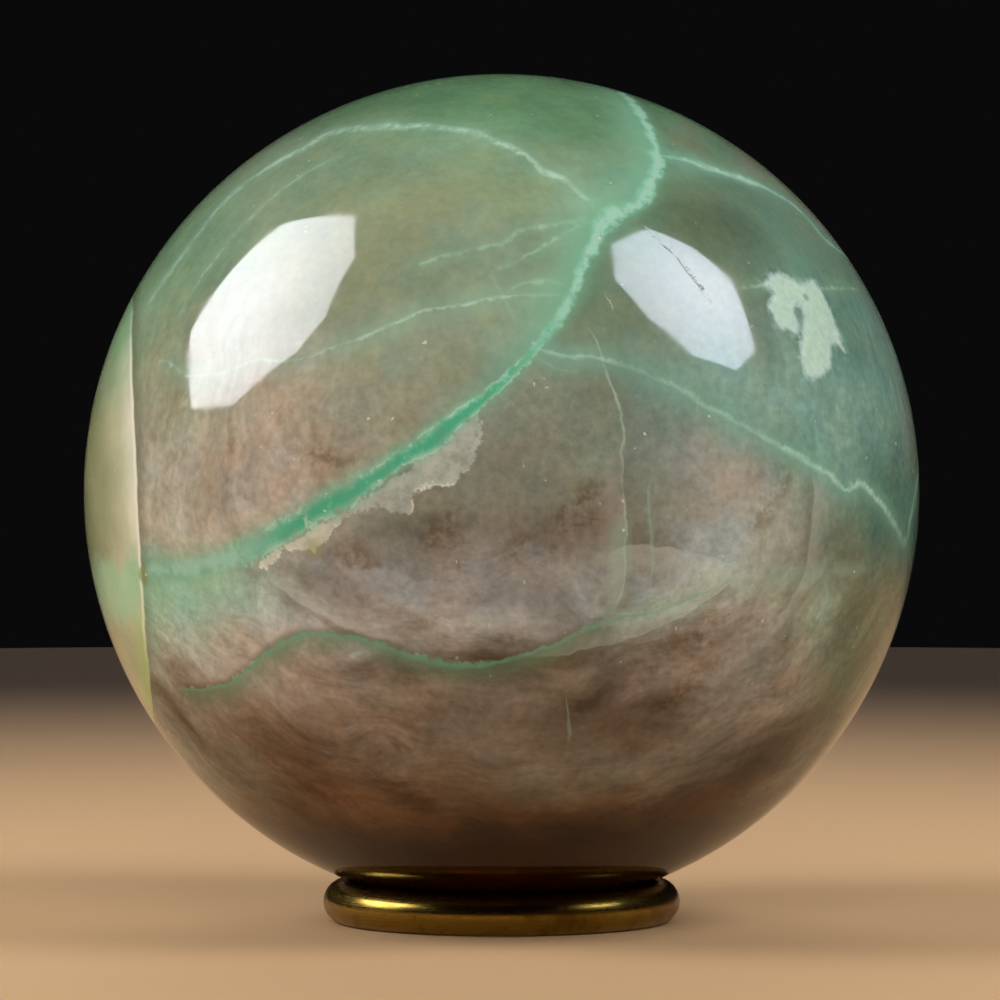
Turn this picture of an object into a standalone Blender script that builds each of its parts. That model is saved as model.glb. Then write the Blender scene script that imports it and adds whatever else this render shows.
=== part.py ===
"""A polished garnierite sphere resting on a small ring bent from round brass bar.

Metres, +Z up. The origin is on the table, on the sphere's and the ring's common upright axis.
"""

import math

import bmesh
import bpy

# Driving dimensions, in metres
SPHERE_DIAMETER = 0.070
RING_OUTER_DIAMETER = 0.030
BAR_DIAMETER = 0.0034
# The flat that polishing leaves under the ring, measured across the bar
FOOT_WIDTH = 0.0013
# Clearance kept where the sphere touches the ring
SEAT_GAP = 0.0003

# How finely the round shapes are divided
SPHERE_SEGMENTS = 72
SPHERE_RINGS = 36
RING_SEGMENTS = 72
BAR_ARC_STEPS = 16
MERGE_DISTANCE = 0.00001

# Sizes that follow from them
SPHERE_RADIUS = SPHERE_DIAMETER / 2
BAR_RADIUS = BAR_DIAMETER / 2
RING_RADIUS = RING_OUTER_DIAMETER / 2 - BAR_RADIUS
BAR_CENTRE_Z = math.sqrt(BAR_RADIUS**2 - (FOOT_WIDTH / 2) ** 2)
CENTRE_DISTANCE = SPHERE_RADIUS + BAR_RADIUS + SEAT_GAP
SPHERE_CENTRE_Z = BAR_CENTRE_Z + math.sqrt(CENTRE_DISTANCE**2 - RING_RADIUS**2)

# Finishes: colour (linear), roughness, metallic
GARNIERITE = ((0.20, 0.24, 0.16), 0.12, 0.0)
BRASS = ((0.50, 0.33, 0.11), 0.28, 1.0)


def clear_scene():
    """Removes every object, so that the script can be run again in an open file."""
    for old in list(bpy.data.objects):
        bpy.data.objects.remove(old, do_unlink=True)


def make_material(name, finish):
    """A Principled material with the given colour, roughness and metallic value."""
    colour, roughness, metallic = finish
    material = bpy.data.materials.new(name)
    material.use_nodes = True
    shader = material.node_tree.nodes["Principled BSDF"]
    shader.inputs["Base Color"].default_value = (*colour, 1.0)
    shader.inputs["Roughness"].default_value = roughness
    shader.inputs["Metallic"].default_value = metallic
    return material


def add_object(name, mesh, material):
    """Links a mesh to the scene as a smooth-shaded object with one material."""
    mesh.materials.append(material)
    piece = bpy.data.objects.new(name, mesh)
    bpy.context.scene.collection.objects.link(piece)
    return piece


def make_sphere():
    """The ground and polished stone, one solid ball."""
    mesh = bpy.data.meshes.new("garnierite_sphere")
    shape = bmesh.new()
    bmesh.ops.create_uvsphere(
        shape,
        u_segments=SPHERE_SEGMENTS,
        v_segments=SPHERE_RINGS,
        radius=SPHERE_RADIUS,
    )
    shape.to_mesh(mesh)
    shape.free()
    mesh.shade_smooth()
    sphere = add_object("garnierite_sphere", mesh, make_material("garnierite", GARNIERITE))
    sphere.location.z = SPHERE_CENTRE_Z
    return sphere


def bar_section():
    """The bar's section at +X: up its inner side, over the top and down its outer side to the foot."""
    foot_half_angle = math.asin(FOOT_WIDTH / BAR_DIAMETER)
    start = 1.5 * math.pi - foot_half_angle
    end = -0.5 * math.pi + foot_half_angle
    points = []
    for step in range(BAR_ARC_STEPS + 1):
        angle = start + (end - start) * step / BAR_ARC_STEPS
        x = RING_RADIUS + BAR_RADIUS * math.cos(angle)
        z = BAR_CENTRE_Z + BAR_RADIUS * math.sin(angle)
        points.append((x, 0.0, z))
    return points


def make_ring():
    """The brass ring: the bar's section carried once round the upright axis."""
    points = bar_section()
    edges = [(i, (i + 1) % len(points)) for i in range(len(points))]
    mesh = bpy.data.meshes.new("brass_ring")
    mesh.from_pydata(points, edges, [])
    ring = add_object("brass_ring", mesh, make_material("brass", BRASS))
    turn = ring.modifiers.new("turn", "SCREW")
    turn.axis = "Z"
    turn.angle = 2 * math.pi
    turn.steps = RING_SEGMENTS
    turn.render_steps = RING_SEGMENTS
    turn.use_merge_vertices = True
    turn.merge_threshold = MERGE_DISTANCE
    turn.use_smooth_shade = True
    return ring


clear_scene()
make_sphere()
make_ring()
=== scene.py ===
"""The finish of a polished garnierite sphere and of the brass ring that it rests on."""
import math
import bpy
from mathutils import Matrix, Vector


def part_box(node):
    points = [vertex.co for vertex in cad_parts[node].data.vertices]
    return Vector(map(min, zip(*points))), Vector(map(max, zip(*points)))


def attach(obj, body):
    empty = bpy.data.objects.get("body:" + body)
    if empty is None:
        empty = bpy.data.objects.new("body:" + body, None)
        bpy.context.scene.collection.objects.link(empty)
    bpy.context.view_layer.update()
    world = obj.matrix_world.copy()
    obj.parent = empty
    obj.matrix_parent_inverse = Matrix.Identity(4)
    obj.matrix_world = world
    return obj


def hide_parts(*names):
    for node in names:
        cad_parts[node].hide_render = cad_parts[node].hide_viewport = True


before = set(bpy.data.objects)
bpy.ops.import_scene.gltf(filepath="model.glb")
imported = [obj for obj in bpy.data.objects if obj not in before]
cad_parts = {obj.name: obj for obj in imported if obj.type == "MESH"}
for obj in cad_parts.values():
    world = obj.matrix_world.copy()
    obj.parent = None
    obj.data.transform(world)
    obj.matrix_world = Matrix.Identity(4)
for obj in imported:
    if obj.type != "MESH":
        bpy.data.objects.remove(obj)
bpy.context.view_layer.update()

from types import SimpleNamespace

import bmesh
import bpy
import numpy as np
from mathutils import Euler, Vector, noise as space_noise

# The stone and the ring as the frame holds them, in metres
STONE_LOW, STONE_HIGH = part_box("garnierite_sphere")
STONE_CENTRE = (STONE_LOW + STONE_HIGH) / 2
STONE_RADIUS = (STONE_HIGH.x - STONE_LOW.x) / 2
RING_LOW, RING_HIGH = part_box("brass_ring")
RING_OUTER_RADIUS = (RING_HIGH.x - RING_LOW.x) / 2
SCENE = bpy.context.scene

# The stone in the photograph, in pixels, and how it was seen
SIDE_PX = 1000.0
STONE_PX = (501.6, 491.8)
STONE_RADIUS_PX = 417.8
CAMERA_DISTANCE = 0.60
CAMERA_RISE = math.radians(2.0)
SENSOR_WIDTH = 36.0
FOCAL_PX = STONE_RADIUS_PX / math.tan(math.asin(STONE_RADIUS / CAMERA_DISTANCE))
TO_CAMERA = Vector((0, -math.cos(CAMERA_RISE), math.sin(CAMERA_RISE)))
ACROSS = Vector((1, 0, 0))
UPWARD = Vector((0, math.sin(CAMERA_RISE), math.cos(CAMERA_RISE)))
CAMERA_AT = STONE_CENTRE + TO_CAMERA * CAMERA_DISTANCE


def sight(x, y):
    """The direction from the camera through a pixel."""
    right = (x - STONE_PX[0]) / FOCAL_PX
    up = (STONE_PX[1] - y) / FOCAL_PX
    return (ACROSS * right + UPWARD * up - TO_CAMERA).normalized()


def on_stone(x, y):
    """Where a pixel's sight line meets the stone, as a direction from its centre."""
    line = sight(x, y)
    to_centre = STONE_CENTRE - CAMERA_AT
    along = line.dot(to_centre)
    half_chord_squared = STONE_RADIUS**2 - to_centre.length_squared + along**2
    reach = along - math.sqrt(max(half_chord_squared, 0.0))
    return (CAMERA_AT + line * reach - STONE_CENTRE).normalized()


def by_angles(longitude, latitude):
    """A direction from the stone's centre: 0 degrees faces the camera, 90 is to the right, 180 behind."""
    turn, rise = math.radians(longitude), math.radians(latitude)
    return Vector((math.sin(turn) * math.cos(rise), -math.cos(turn) * math.cos(rise), math.sin(rise)))


# Camera
def make_camera():
    lens = bpy.data.cameras.new("camera")
    lens.sensor_width = SENSOR_WIDTH
    lens.lens = SENSOR_WIDTH * FOCAL_PX / SIDE_PX
    lens.shift_x = (SIDE_PX / 2 - STONE_PX[0]) / SIDE_PX
    lens.shift_y = (STONE_PX[1] - SIDE_PX / 2) / SIDE_PX
    lens.clip_start = 0.01
    lens.clip_end = 20.0
    camera = bpy.data.objects.new("camera", lens)
    SCENE.collection.objects.link(camera)
    camera.location = CAMERA_AT
    camera.rotation_euler = (-TO_CAMERA).to_track_quat("-Z", "Y").to_euler()
    SCENE.camera = camera


# Short ways to build a node tree
class Wire:
    """A value or colour on its way through a node tree. It can be reckoned with like a number."""

    def __init__(self, tree, socket):
        self.tree = tree
        self.socket = socket

    def __add__(self, other):
        return calc(self.tree, "ADD", self, other)

    def __sub__(self, other):
        return calc(self.tree, "SUBTRACT", self, other)

    def __rsub__(self, other):
        return calc(self.tree, "SUBTRACT", other, self)

    def __mul__(self, other):
        return calc(self.tree, "MULTIPLY", self, other)

    def __truediv__(self, other):
        return calc(self.tree, "DIVIDE", self, other)

    def __abs__(self):
        return calc(self.tree, "ABSOLUTE", self)


def fill(tree, socket, value):
    """Links a socket to a wire, or sets its own value."""
    if isinstance(value, Wire):
        tree.links.new(value.socket, socket)
    else:
        socket.default_value = value


def add_node(tree, kind, inputs=None, **settings):
    node = tree.nodes.new(kind)
    for name, value in settings.items():
        setattr(node, name, value)
    for key, value in (inputs or {}).items():
        fill(tree, node.inputs[key], value)
    return node


def wire(tree, kind, inputs=None, output=0, **settings):
    """Adds a node and gives one of its outputs."""
    return Wire(tree, add_node(tree, kind, inputs, **settings).outputs[output])


def calc(tree, operation, *values):
    return wire(tree, "ShaderNodeMath", dict(enumerate(values)), operation=operation)


def larger(first, second):
    return calc(first.tree, "MAXIMUM", first, second)


def vector_calc(tree, operation, inputs, output=0):
    return wire(tree, "ShaderNodeVectorMath", inputs, output, operation=operation)


def named_wires(tree, node):
    """A node's outputs by their names in small letters."""
    named = {socket.name.lower(): Wire(tree, socket) for socket in node.outputs if socket.name}
    return SimpleNamespace(**named)


def split(vector):
    """The three parts of a vector."""
    node = add_node(vector.tree, "ShaderNodeSeparateXYZ", {0: vector})
    return [Wire(vector.tree, socket) for socket in node.outputs]


def fade(value, start, end, low=0.0, high=1.0):
    """Goes smoothly from low to high while value goes from start to end."""
    inputs = {"Value": value, "From Min": start, "From Max": end, "To Min": low, "To Max": high}
    return wire(value.tree, "ShaderNodeMapRange", inputs, interpolation_type="SMOOTHSTEP")


def tint(mask, under, over, way="MIX"):
    """Lays one colour over another."""
    return wire(mask.tree, "ShaderNodeMix", {0: mask, 6: under, 7: over}, 2, data_type="RGBA", blend_type=way)


def lay(colour, shade, mask):
    """Lays one even shade, given by six digits, over a colour."""
    return tint(mask, colour, linear(shade))


def noise(place, scale, detail=4.0, roughness=0.55, output="Fac"):
    inputs = {"Vector": place, "Scale": scale, "Detail": detail, "Roughness": roughness}
    return wire(place.tree, "ShaderNodeTexNoise", inputs, output)


def swing(place, scale, detail=4.0, roughness=0.6):
    """Noise that swings evenly to both sides of zero."""
    return noise(place, scale, detail, roughness) - 0.5


def linear(hex_colour):
    """A linear colour from the usual six digits."""
    parts = [int(hex_colour[i : i + 2], 16) / 255 for i in (0, 2, 4)]
    return (*[((c + 0.055) / 1.055) ** 2.4 if c > 0.04045 else c / 12.92 for c in parts], 1.0)


def new_material(name):
    material = bpy.data.materials.new(name)
    material.use_nodes = True
    return material, material.node_tree, material.node_tree.nodes["Principled BSDF"]


def link_piece(name, mesh, *materials):
    for material in materials:
        mesh.materials.append(material)
    piece = bpy.data.objects.new(name, mesh)
    SCENE.collection.objects.link(piece)
    return piece


# Studio: a pale table top, two eight-sided softboxes and soft fill
FLOOR_RADIUS = 0.41
# The floor is painted darker from near the stone out to its rim: painted shade, as though the light fell off
FLOOR_SHADE_FADES_BETWEEN = (0.07, 0.34)
FLOOR_COLOUR = linear("b9966f")
FLOOR_PAINTED_SHADE_COLOUR = linear("2e241c")
WORLD_COLOUR = (0.003, 0.003, 0.003, 1.0)
SOFTBOX_DISTANCE = 0.75
SOFTBOXES = {
    "softbox_left": {
        "corners": [
            (283, 224), (355, 216), (355, 257), (325, 318), (296, 353),
            (251, 388), (232, 406), (192, 409), (189, 369), (191, 331), (264, 238),
        ],
        "colour": (0.985, 0.98, 1.05, 1.0),
        "glow": 10.2,
    },
    "softbox_right": {
        "corners": [
            (611.5, 244.5), (648, 228.6), (693, 248), (731, 280), (755, 351),
            (736, 370.5), (693, 356), (648, 318), (615, 280),
        ],
        "colour": (0.77, 0.83, 1.0, 1.0),
        "glow": 10.4,
    },
}
SOFT_LIGHTS = {
    "side_left": {"to": (-0.79, -0.10, 0.60), "away": 0.75, "size": 0.42, "watts": 3.6},
    "side_right": {"to": (0.68, -0.25, 0.70), "away": 0.75, "size": 0.42, "watts": 3.4},
    "front": {"to": (0.0, -0.93, 0.36), "away": 0.90, "size": 0.80, "watts": 5.0},
    "back": {"to": (0.0, 0.90, 0.45), "away": 0.90, "size": 0.80, "watts": 5.0},
}


def mirrored_beam(x, y):
    """The point of the stone at a pixel, and the direction in which its polish mirrors the camera."""
    outward = on_stone(x, y)
    line = sight(x, y)
    return STONE_CENTRE + outward * STONE_RADIUS, line - outward * (2 * line.dot(outward))


def make_softbox(name, spec):
    """A lamp panel whose mirror image on the stone has the given corners."""
    beams = [mirrored_beam(x, y) for x, y in spec["corners"]]
    axis = sum((beam for _, beam in beams), Vector()).normalized()
    corners = []
    for start, beam in beams:
        height = SOFTBOX_DISTANCE - (start - STONE_CENTRE).dot(axis)
        corners.append(start + beam * (height / beam.dot(axis)))
    mesh = bpy.data.meshes.new(name)
    mesh.from_pydata(corners, [], [range(len(corners))])
    material, tree, shader = new_material(name)
    tree.nodes.remove(shader)
    spot = wire(tree, "ShaderNodeTexCoord", output="Object")
    middle = sum(corners, Vector()) / len(corners)
    away = vector_calc(tree, "DISTANCE", {0: spot, 1: middle}, "Value")
    strength = fade(away, 0.35, 0.0, spec["glow"], spec["glow"] * 1.5)
    glow = wire(tree, "ShaderNodeEmission", {"Color": spec["colour"], "Strength": strength})
    fill(tree, tree.nodes["Material Output"].inputs["Surface"], glow)
    panel = link_piece(name, mesh, material)
    panel.visible_camera = False
    panel.visible_diffuse = False
    panel.visible_shadow = False


def make_soft_light(name, spec):
    lamp = bpy.data.lights.new(name, "AREA")
    lamp.shape = "DISK"
    lamp.size = spec["size"]
    lamp.energy = spec["watts"]
    light = bpy.data.objects.new(name, lamp)
    SCENE.collection.objects.link(light)
    to_light = Vector(spec["to"]).normalized()
    light.location = STONE_CENTRE + to_light * spec["away"]
    light.rotation_euler = to_light.to_track_quat("Z", "Y").to_euler()
    light.visible_glossy = False


def make_studio():
    world = bpy.data.worlds.new("studio")
    SCENE.world = world
    world.use_nodes = True
    world.node_tree.nodes["Background"].inputs["Color"].default_value = WORLD_COLOUR
    SCENE.view_settings.view_transform = "Standard"
    shape = bmesh.new()
    bmesh.ops.create_circle(shape, cap_ends=True, segments=128, radius=FLOOR_RADIUS)
    mesh = bpy.data.meshes.new("floor")
    shape.to_mesh(mesh)
    shape.free()
    material, tree, shader = new_material("floor")
    spot = wire(tree, "ShaderNodeTexCoord", output="Object")
    away = vector_calc(tree, "LENGTH", {0: spot}, "Value")
    # Painted shade: the floor darkens towards its rim
    falloff = fade(away, *FLOOR_SHADE_FADES_BETWEEN)
    fill(tree, shader.inputs["Base Color"], tint(falloff, FLOOR_COLOUR, FLOOR_PAINTED_SHADE_COLOUR))
    shader.inputs["Roughness"].default_value = 0.8
    shader.inputs["Specular IOR Level"].default_value = 0.1
    link_piece("floor", mesh, material)
    for name, spec in SOFTBOXES.items():
        make_softbox(name, spec)
    for name, spec in SOFT_LIGHTS.items():
        make_soft_light(name, spec)


# The stone's skin
BALL_CUTS = 125
MILLIMETRE = 0.001
RADIUS_MM = STONE_RADIUS / MILLIMETRE


def make_ball(name):
    """An even ball: a gridded cube pushed out onto the sphere, with its six sides laid out side by side."""
    shape = bmesh.new()
    bmesh.ops.create_cube(shape, size=2.0)
    bmesh.ops.subdivide_edges(shape, edges=shape.edges[:], cuts=BALL_CUTS, use_grid_fill=True)
    layout = shape.loops.layers.uv.new("OFBake")
    for face in shape.faces:
        middle = face.calc_center_median()
        side = max(range(3), key=lambda axis: abs(middle[axis]))
        row = 0 if middle[side] < 0 else 1
        first, second = [axis for axis in range(3) if axis != side]
        for corner in face.loops:
            across = 0.5 + 0.49 * corner.vert.co[first]
            up = 0.5 + 0.49 * corner.vert.co[second]
            corner[layout].uv = ((side + across) / 3, (row + up) / 2)
    for point in shape.verts:
        even = Vector(math.tan(value * math.pi / 4) for value in point.co)
        point.co = STONE_CENTRE + even.normalized() * STONE_RADIUS
    mesh = bpy.data.meshes.new(name)
    shape.to_mesh(mesh)
    shape.free()
    mesh.shade_smooth()
    return mesh


# Veins, ledges and cracks. Each route is followed over the skin.
def seen(*points, width=None):
    """Points of a route on the camera's side: a pixel, and the line's half width in millimetres."""
    return [(*on_stone(x, y), *(own or [width])) for x, y, *own in points]


def hidden(*points, width=None):
    """Points on the hidden side: longitude, latitude, and the line's half width in millimetres."""
    return [(*by_angles(longitude, latitude), *(own or [width])) for longitude, latitude, *own in points]


TRUNK = seen(
    (624, 93, 0.3), (639, 111, 0.34), (651, 136, 0.38), (658, 158, 0.45), (651, 181, 0.42),
    (639, 203, 0.45), (611.5, 217, 0.5), (597, 232, 0.42), (588, 257, 0.36), (575, 289, 0.34),
    (556, 321, 0.36), (536.5, 347, 0.42), (514, 369, 0.38), (492, 391, 0.39), (460, 417, 0.44),
    (427, 443, 0.54), (372, 480, 0.66), (309, 515, 0.72), (258, 546, 0.74), (226, 560, 0.66),
    (187.5, 568, 0.54), (146, 572, 0.5), (125, 588, 1.3), (108, 592, 1.5),
) + hidden(
    (-92, -17, 1.3), (-108, -15, 0.9), (-125, -5, 0.7), (-142, 3, 0.9), (-158, 14, 0.7), (-172, 21, 0.6),
    (172, 30, 0.7), (158, 42, 0.5), (140, 53, 0.6), (112, 66, 0.45),
)
UPPER_LIMB = seen(
    (640, 150, 0.24), (652, 152, 0.28), (664, 155, 0.3), (676, 158, 0.3), (700, 165, 0.3), (715, 170, 0.3),
    (740, 178, 0.32), (763, 187, 0.3), (790, 203, 0.26), (808, 219, 0.24), (827, 241, 0.22),
) + hidden(
    (88, 33, 0.22), (100, 28, 0.24), (118, 20, 0.28), (140, 5, 0.24), (160, -12, 0.32), (180, -25, 0.28),
    (-160, -34, 0.24), (-138, -46, 0.19),
)
LOWER_LIMB = seen(
    (524, 350, 0.14), (536, 348, 0.17), (550, 351, 0.17), (565, 356, 0.15), (603.5, 359, 0.15),
    (626, 366, 0.18), (667, 382, 0.17), (715, 410, 0.19), (763, 436, 0.2), (795, 455, 0.2),
    (827, 474, 0.21), (846, 490, 0.21), (860, 483.5, 0.2), (878, 499, 0.2), (892, 520, 0.24),
    (905, 543, 0.32), (911, 514, 0.3), (917, 483, 0.26),
) + hidden((92, 8, 0.13), (96, 12, 0.15), (101, 12.5, 0.15), (106, 17, 0.15), (112, 18, 0.14), (117, 22, 0.1))
LOW_VEIN = seen(
    (176, 689, 0.04), (195, 690, 0.07), (215, 689, 0.1), (236, 682, 0.18), (251, 668, 0.22),
    (277, 645.5, 0.22), (296, 636, 0.26), (331, 635, 0.32), (357, 638, 0.32), (379, 645.5, 0.32),
    (408, 655, 0.34), (443, 663, 0.34), (480, 665, 0.28), (516, 657, 0.18), (548, 646, 0.14),
    (585, 630, 0.13), (610, 621, 0.13), (651, 613, 0.12), (683, 602, 0.12), (715, 589, 0.12),
    (747, 570, 0.1),
)
BACK_VEIN = hidden(
    (104, -42, 0.4), (122, -38, 0.6), (138, -46, 0.7), (158, -48, 0.5), (176, -58, 0.6), (-160, -60, 0.4),
)
BACK_VEIN_HIGH = hidden(
    (-100, 40, 0.4), (-114, 34, 0.5), (-130, 36, 0.4), (-146, 44, 0.5), (-160, 52, 0.4), (176, 58, 0.3),
)
UPPER_ARC = seen(
    (600, 212, 0.16), (568, 182, 0.2), (543, 170, 0.2), (522, 152, 0.2), (498, 142, 0.22), (466, 131, 0.3),
    (427, 127, 0.32), (372.5, 126.5, 0.32), (331, 133, 0.3), (302, 149, 0.3), (264, 170, 0.28),
    (226, 200, 0.28), (188, 248, 0.28), (156, 292, 0.28), (136.5, 327, 0.25),
)
INNER_ARC = seen(
    (352, 150, 0.08), (318, 166, 0.1), (282, 190, 0.12), (246, 222, 0.12), (212, 262, 0.12),
    (184, 306, 0.08),
)
FAINT_BRANCHES = [
    seen(
        (590, 212, 0.14), (584, 219, 0.2), (557, 224, 0.18), (522, 230, 0.18), (500, 243, 0.18),
        (465, 251, 0.14), (427, 260, 0.12), (400, 270, 0.06),
    ),
    seen((486, 272, 0.06), (508, 266, 0.1), (536, 250, 0.14), (566, 234, 0.14), (598, 218, 0.08)),
    seen((576, 290, 0.08), (548, 281, 0.12), (520, 285, 0.12), (498, 300, 0.06)),
]
MIDDLE_THREAD = seen(
    (572, 294, 0.09), (530, 295.5, 0.09), (506, 297, 0.09), (459, 305, 0.09), (420, 311.5, 0.09),
    (395, 324, 0.09), (363, 337, 0.11), (315, 354.5, 0.09), (283, 362.5, 0.11), (258, 359, 0.09),
    (225, 372, 0.09), (188, 375, 0.09), (168, 362.5, 0.09), (152.5, 361, 0.07),
)
DIAGONAL = seen((486, 262, 0.08), (500, 288, 0.1), (510, 310, 0.1), (519, 331, 0.08))
LEVEL_THREAD = seen((735, 289, 0.08), (766, 286, 0.1), (800, 288, 0.1), (833, 289, 0.1), (862, 291, 0.08))
PALE_BAND = seen(
    (728, 597, 0.3), (752, 588, 0.6), (775, 578, 0.7), (805, 573, 0.5), (840, 571, 0.4), (874, 567, 0.3),
)
SHORT_WISP = seen((566, 690, 0.03), (568, 712, 0.05), (569, 735, 0.09), (567, 752, 0.05))
UPRIGHT_WISPS = [
    seen((652, 470, 0.05), (650, 500, 0.08), (652, 545, 0.08), (651, 575, 0.06), (647, 606, 0.05)),
    seen((598, 640, 0.1), (606, 618, 0.3), (617, 580, 0.5), (619, 540, 0.5), (622, 505, 0.3)),
]
SPUR = seen((528, 352, 0.08), (552, 366, 0.1), (572, 372, 0.08), (592, 366, 0.06))
SEAM = seen(
    (588, 324, 0.06), (600, 353, 0.08), (607, 372, 0.08), (616, 398, 0.08), (623, 423, 0.1),
    (622, 445, 0.1), (621, 470, 0.08), (625, 500, 0.08), (626, 540, 0.08), (625, 575, 0.07),
    (618, 600, 0.07), (609, 620, 0.06),
)
LEFT_LEDGE = seen((262, 574), (284, 592), (312, 610), (345, 628), (380, 640), (412, 650), width=0.04)
RIGHT_LEDGE = seen(
    (524, 657, 0.04), (560, 655, 0.05), (590, 649, 0.05), (625, 640, 0.05), (660, 627, 0.05),
    (700, 606, 0.05), (744, 573, 0.04),
)
ZONE_EDGE = seen((811, 466), (814, 500), (812, 530), (803, 575), (787, 607), (769, 625), width=0.02)
LENS_TOP = seen((738, 566), (700, 556), (664, 547), (640, 545), (619, 549), (598, 560), width=0.02)
FLAWS = [
    seen((311, 500, 0.05), (305, 514, 0.1), (307, 530, 0.09), (313, 545, 0.06)),
    seen((294, 522, 0.05), (304, 517, 0.08), (320, 519, 0.05)),
    seen((463, 488, 0.05), (470, 490, 0.08), (478, 484, 0.05)),
    seen((573, 524, 0.04), (575, 530, 0.07), (577, 526, 0.04)),
    seen((455, 516, 0.04), (456, 520, 0.06), (457, 515, 0.04)),
    seen((602, 286, 0.02), (607, 298, 0.04), (613, 310, 0.03), (617, 322, 0.03)),
    seen((701, 384, 0.03), (698, 402, 0.04), (694, 420, 0.03)),
]
PLATE_OUTLINE = seen(
    (262, 566, 0.22), (276, 551, 0.08), (300, 537, 0.08), (330, 518, 0.08), (360, 500, 0.08),
    (392, 480, 0.08), (425, 456, 0.06), (452, 434, 0.06), (470, 418, 0.06), (479, 412, 0.06),
    (482, 425, 0.07), (480, 440, 0.07), (477, 455, 0.08), (470, 468, 0.07), (458, 480, 0.1),
    (446, 484, 0.26), (430, 486, 0.28), (416, 489, 0.26), (411, 498, 0.26), (412, 510, 0.16),
    (400, 514, 0.08), (386, 508, 0.06), (368, 508, 0.1), (354, 513, 0.18), (342, 520, 0.26),
    (334, 530, 0.26), (326, 540, 0.2), (316, 549, 0.24), (304, 550, 0.28), (290, 550, 0.3),
    (276, 556, 0.3), (268, 568, 0.28),
)
STAINS_AND_LIP_SHADOW = [
    # The first line is a painted shadow under the pale plate's lip; the others are brown stains
    seen((322, 550, 0.3), (340, 552, 0.6), (360, 558, 0.7), (380, 559, 0.4), (402, 556, 0.2)),
    seen(
        (402, 545, 0.2), (418, 540, 0.5), (440, 530, 0.9), (455, 524, 1.0), (474, 518, 0.5),
        (492, 514, 0.2),
    ),
    seen((496, 552, 0.3), (515, 545, 0.7), (540, 540, 0.8), (562, 548, 0.7), (585, 546, 0.3)),
    seen((540, 525, 0.2), (565, 512, 0.5), (582, 500, 0.6), (598, 485, 0.4), (612, 468, 0.2)),
    seen((436, 564, 0.1), (455, 566, 0.2), (474, 563, 0.2), (486, 566, 0.1)),
    seen((478, 648, 0.3), (500, 644, 0.7), (525, 640, 0.5), (548, 634, 0.2)),
    seen(
        (784, 452, 0.2), (788, 468, 0.4), (782, 490, 0.4), (770, 508, 0.5), (760, 528, 0.4),
        (746, 545, 0.2),
    ),
    seen((752, 458, 0.2), (762, 470, 0.5), (766, 486, 0.3)),
    seen((230, 470, 0.2), (240, 485, 0.4), (255, 497, 0.5), (262, 512, 0.3)),
    seen((228, 420, 0.2), (232, 445, 0.4), (230, 472, 0.3)),
    seen((292, 458, 0.2), (320, 456, 0.3), (350, 458, 0.3), (372, 455, 0.1)),
    seen((625, 676, 0.3), (650, 660, 0.9), (680, 644, 0.8), (710, 622, 0.5), (738, 600, 0.3)),
    seen((640, 716, 0.3), (672, 692, 0.5), (704, 668, 0.5), (736, 640, 0.3)),
    seen((238, 735, 0.2), (275, 762, 0.4), (312, 790, 0.5), (355, 808, 0.6), (400, 830, 0.4)),
    seen((590, 820, 0.2), (640, 806, 0.5), (690, 785, 0.5), (735, 756, 0.4), (768, 728, 0.2)),
]
SURFACE_CRACK = seen(
    (640, 222, 0.05), (653, 235, 0.08), (664, 245, 0.08), (677, 257, 0.1), (684, 267, 0.06),
    (690, 275, 0.2), (697, 283, 0.1), (703, 291, 0.18), (709, 303, 0.07), (714, 318, 0.05),
)
CREAM_OUTLINE = seen(
    (764, 284), (767, 278), (775, 273), (785, 275), (793, 280), (800, 285), (806, 282), (812, 279),
    (820, 289), (826, 300), (831, 312), (836, 325), (841, 340), (844, 351), (836, 345), (832, 347),
    (831, 358), (830, 368), (823, 374), (811, 379), (805, 374), (801, 363), (799, 352), (801, 340),
    (803, 326), (802, 312), (798, 304), (795, 311), (799, 324), (798, 337), (792, 332), (786, 329),
    (781, 331), (777, 324), (773, 314), (768, 306), (771, 298), (773, 291), (770, 287), width=0.0,
)
BACK_THREADS = [
    hidden((-112, 26, 0.08), (-128, 14, 0.14), (-146, -2, 0.14), (-162, -18, 0.12), (-176, -36, 0.08)),
    hidden((118, 30, 0.08), (134, 18, 0.14), (152, 10, 0.14), (170, 0, 0.12), (-170, -10, 0.08)),
    hidden((96, -14, 0.06), (110, -22, 0.12), (128, -26, 0.12), (146, -22, 0.12), (160, -28, 0.06)),
]
BACK_STAINS = [
    hidden((-176, -12, 0.3), (-166, -18, 0.8), (-154, -16, 0.9), (-142, -20, 0.4)),
    hidden((158, -34, 0.4), (168, -38, 1.0), (178, -34, 0.8), (-172, -36, 0.3)),
    hidden((-146, -38, 0.4), (-134, -44, 1.1), (-120, -42, 0.9), (-108, -46, 0.4)),
    hidden((122, -6, 0.2), (130, -12, 0.6), (142, -10, 0.5), (150, -14, 0.2)),
    hidden((100, -36, 0.4), (112, -44, 1.1), (126, -50, 1.0), (142, -52, 0.5)),
]
BACK_LEDGES = [
    hidden((138, -18), (154, -26), (172, -24), (-172, -30), (-158, -28), width=0.04),
    hidden((-100, -20), (-114, -30), (-128, -32), (-142, -30), width=0.04),
]
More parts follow.
